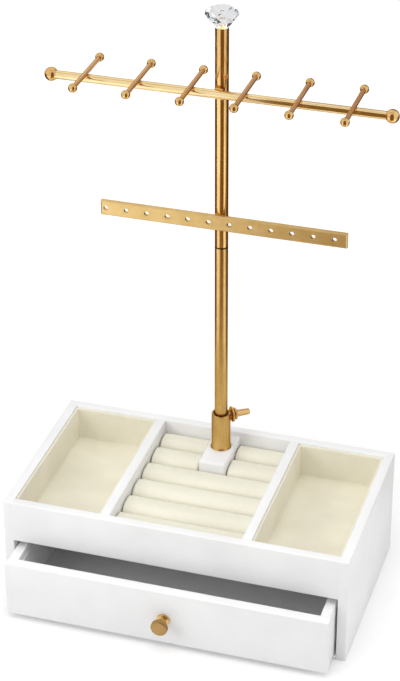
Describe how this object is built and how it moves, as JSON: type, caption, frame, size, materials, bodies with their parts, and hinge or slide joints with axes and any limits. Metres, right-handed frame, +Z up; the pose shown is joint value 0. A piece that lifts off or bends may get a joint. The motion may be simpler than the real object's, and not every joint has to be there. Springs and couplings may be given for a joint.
{
  "type": "jewelry stand with drawer",
  "caption": "Table-top jewelry stand: lined wooden tray box with ring rolls and a drawer, and a metal mast with a necklace bar, hooks, an earring strip and a faceted knob.",
  "frame": {"origin": "centre of the case's underside, on the table", "axes": "+X to the right along the front, +Y from the front to the back, +Z up along the mast"},
  "size_m": [0.29, 0.201, 0.49],
  "materials": {
    "painted_white": "smooth white satin paint on fibreboard",
    "velvet_cream": "short-pile cream velvet",
    "backing_card": "grey board card",
    "gold_metal": "satin gold-coloured plating",
    "gold_matte": "matte brushed gold",
    "zinc_steel": "zinc-plated screw",
    "black_nylon": "black nylon",
    "crystal_acrylic": "clear polished acrylic, faceted",
    "grey_felt": "thin light grey felt"
  },
  "bodies": {
    "case": {"case_left_side": "painted_white", "case_right_side": "painted_white", "case_front_rail": "painted_white", "case_back_panel": "painted_white", "case_bottom_board": "painted_white", "tray_floor_board": "painted_white", "left_divider": "painted_white", "right_divider": "painted_white", "post_plinth": "painted_white", "left_liner_floor": "velvet_cream", "left_liner_walls": "velvet_cream", "right_liner_floor": "velvet_cream", "right_liner_walls": "velvet_cream", "ring_roll_1": "velvet_cream", "ring_roll_2": "velvet_cream", "ring_roll_3": "velvet_cream", "ring_roll_4": "velvet_cream", "ring_roll_5": "velvet_cream", "ring_roll_6": "velvet_cream", "roll_backing_card": "backing_card", "socket_tube": "gold_metal", "socket_collar": "gold_metal", "socket_plug": "zinc_steel", "socket_screw": "zinc_steel", "clamp_boss": "gold_metal", "clamp_pad": "gold_metal"},
    "drawer": {"drawer_front": "painted_white", "drawer_left_side": "painted_white", "drawer_right_side": "painted_white", "drawer_back": "painted_white", "drawer_bottom": "painted_white", "drawer_felt_floor": "grey_felt", "drawer_felt_walls": "grey_felt", "drawer_knob": "gold_matte", "drawer_knob_screw": "zinc_steel"},
    "bush": {"guide_bush": "black_nylon"},
    "mast": {"lower_post": "gold_metal", "joint_stud": "gold_metal", "joint_socket": "gold_metal", "upper_post": "gold_metal", "knob_stud": "gold_metal", "crystal_knob": "crystal_acrylic", "necklace_bar": "gold_metal", "left_end_ball": "gold_metal", "right_end_ball": "gold_metal", "bar_saddle": "gold_metal", "earring_strip": "gold_metal", "strip_saddle": "gold_metal", "hook_rod_1": "gold_metal", "hook_rod_2": "gold_metal", "hook_rod_3": "gold_metal", "hook_rod_4": "gold_metal", "hook_rod_5": "gold_metal", "hook_rod_6": "gold_metal"},
    "clamp": {"clamp_screw": "gold_metal"}
  },
  "joints": [
    {"name": "drawer_slide", "type": "slide", "parent": "case", "child": "drawer", "axis": [0, -1, 0], "range_m": [-0.0245, 0.0905]},
    {"name": "mast_swivel", "type": "hinge", "parent": "case", "child": "bush", "pos_m": [0, 0.0545, 0.1], "axis": [0, 0, 1], "continuous": true},
    {"name": "mast_lift", "type": "slide", "parent": "bush", "child": "mast", "axis": [0, 0, 1], "range_m": [0, 0.035]},
    {"name": "clamp_turn", "type": "hinge", "parent": "case", "child": "clamp", "pos_m": [0, 0.0545, 0.1235], "axis": [0.8192, 0.5736, 0], "range_deg": [0, 720]}
  ]
}
